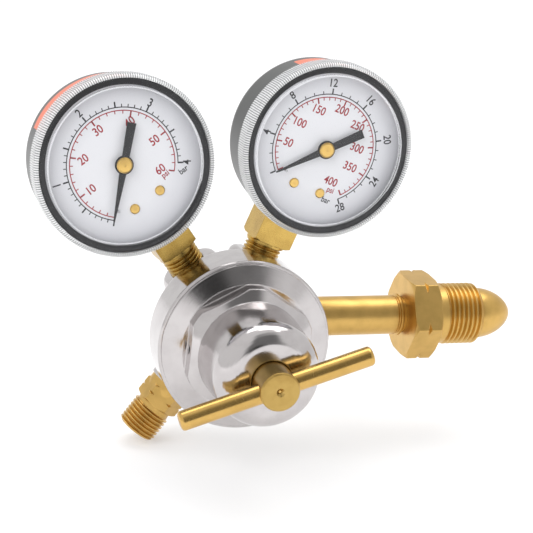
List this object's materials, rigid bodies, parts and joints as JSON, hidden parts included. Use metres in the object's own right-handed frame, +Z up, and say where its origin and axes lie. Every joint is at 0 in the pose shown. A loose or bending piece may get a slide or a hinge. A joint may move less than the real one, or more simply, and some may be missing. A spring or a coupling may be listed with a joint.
{
  "type": "liquefied petroleum gas regulator",
  "caption": "Chrome and brass gas pressure regulator with two dial gauges, a T-handle adjusting screw, a bullet-nose inlet with a hexagon nut and a threaded outlet.",
  "frame": {"origin": "on the inlet axis, half way along the inlet nut's thread", "axes": "+X is the way the cylinder valve leaves the inlet, +Z is up, -Y is the front, where the T-handle and the dials face"},
  "size_m": [0.1817, 0.0888, 0.1399],
  "materials": {
    "chrome": "polished nickel-chrome plating with fine turning lines",
    "brass": "polished turned brass",
    "dark_brass": "darker satin brass",
    "pink_brass": "satin reddish bronze",
    "steel": "bright steel",
    "rubber": "matt rubber",
    "clear_plastic": "clear polycarbonate",
    "dial_white": "satin white print on sheet",
    "black_plastic": "satin black",
    "case_paint": "satin charcoal with an orange field on the side"
  },
  "bodies": {
    "root": {"body": "chrome", "bonnet": "chrome", "slip_ring": "steel", "diaphragm": "rubber", "pressure_spring": "steel", "nozzle": "brass", "valve_spring": "steel", "inlet_filter": "pink_brass", "inlet_nipple": "brass", "outlet_fitting": "brass", "left_socket": "dark_brass", "left_case": "case_paint", "left_lens": "clear_plastic", "left_ring": "black_plastic", "left_dial": "dial_white", "left_dial_screws": "brass", "left_stop_pin": "steel", "left_front_plate": "brass", "left_back_plate": "brass", "left_bourdon_tube": "dark_brass", "right_socket": "dark_brass", "right_case": "case_paint", "right_lens": "clear_plastic", "right_ring": "black_plastic", "right_dial": "dial_white", "right_dial_screws": "brass", "right_stop_pin": "steel", "right_front_plate": "brass", "right_back_plate": "brass", "right_bourdon_tube": "dark_brass"},
    "spring_button": {"spring_button": "steel"},
    "pressure_screw": {"adjusting_screw": "dark_brass", "cross_bar": "brass"},
    "diaphragm_plate": {"diaphragm_plate": "brass"},
    "poppet": {"poppet": "brass", "seat_disc": "rubber", "valve_pin": "steel"},
    "inlet_nut": {"inlet_nut": "brass"},
    "left_pointer": {"left_pointer": "black_plastic", "left_pointer_boss": "brass", "left_arbor": "brass"},
    "left_sector": {"left_sector": "brass"},
    "left_link": {"left_link": "brass"},
    "right_pointer": {"right_pointer": "black_plastic", "right_pointer_boss": "brass", "right_arbor": "brass"},
    "right_sector": {"right_sector": "brass"},
    "right_link": {"right_link": "brass"}
  },
  "joints": [
    {"name": "button_slide", "type": "slide", "parent": "root", "child": "spring_button", "axis": [0, 1, 0], "range_m": [-0.00785, 0.00226], "deforming": ["pressure_spring"]},
    {"name": "screw_turn", "type": "hinge", "parent": "spring_button", "child": "pressure_screw", "pos_m": [-0.0887, 0, 0], "axis": [0, 1, 0], "range_deg": [-1440, 414]},
    {"name": "diaphragm_slide", "type": "slide", "parent": "root", "child": "diaphragm_plate", "axis": [0, 1, 0], "range_m": [0, 0.0006], "stiffness_N_per_m": 500, "springref_m": -0.002, "deforming": ["diaphragm"]},
    {"name": "poppet_slide", "type": "slide", "parent": "root", "child": "poppet", "axis": [0, 1, 0], "range_m": [0, 0.0006], "deforming": ["valve_spring"]},
    {"name": "nut_turn", "type": "hinge", "parent": "root", "child": "inlet_nut", "pos_m": [0, 0, 0], "axis": [1, 0, 0], "continuous": true},
    {"name": "left_pointer_turn", "type": "hinge", "parent": "root", "child": "left_pointer", "pos_m": [-0.13164, -0.006, 0.05867], "axis": [-0.0815, 0.9949, -0.0597], "range_deg": [0, 270], "stiffness_Nm_per_rad": 0.0002, "springref_deg": -28.65, "deforming": ["left_bourdon_tube"]},
    {"name": "left_sector_turn", "type": "hinge", "parent": "root", "child": "left_sector", "pos_m": [-0.12313, -0.006, 0.04705], "axis": [-0.0815, 0.9949, -0.0597], "range_deg": [-30, 0]},
    {"name": "left_link_turn", "type": "hinge", "parent": "left_sector", "child": "left_link", "pos_m": [-0.1171, -0.00537, 0.04938], "axis": [-0.0815, 0.9949, -0.0597], "range_deg": [0, 30]},
    {"name": "right_pointer_turn", "type": "hinge", "parent": "root", "child": "right_pointer", "pos_m": [-0.06324, -0.006, 0.06564], "axis": [-0.0455, 0.9988, 0.0177], "range_deg": [0, 270], "stiffness_Nm_per_rad": 0.0002, "springref_deg": -28.65, "deforming": ["right_bourdon_tube"]},
    {"name": "right_sector_turn", "type": "hinge", "parent": "root", "child": "right_sector", "pos_m": [-0.06845, -0.006, 0.05221], "axis": [-0.0455, 0.9988, 0.0177], "range_deg": [-30, 0]},
    {"name": "right_link_turn", "type": "hinge", "parent": "right_sector", "child": "right_link", "pos_m": [-0.06321, -0.00569, 0.04837], "axis": [-0.0455, 0.9988, 0.0177], "range_deg": [0, 30]}
  ],
  "couplings": [
    {"joint": "button_slide", "follows": "screw_turn", "m_per_rad": 0.00031099},
    {"joint": "poppet_slide", "follows": "diaphragm_slide", "ratio": 1},
    {"joint": "left_sector_turn", "follows": "left_pointer_turn", "ratio": -0.11111},
    {"joint": "left_link_turn", "follows": "left_pointer_turn", "ratio": 0.11111},
    {"joint": "right_sector_turn", "follows": "right_pointer_turn", "ratio": -0.11111},
    {"joint": "right_link_turn", "follows": "right_pointer_turn", "ratio": 0.11111}
  ]
}
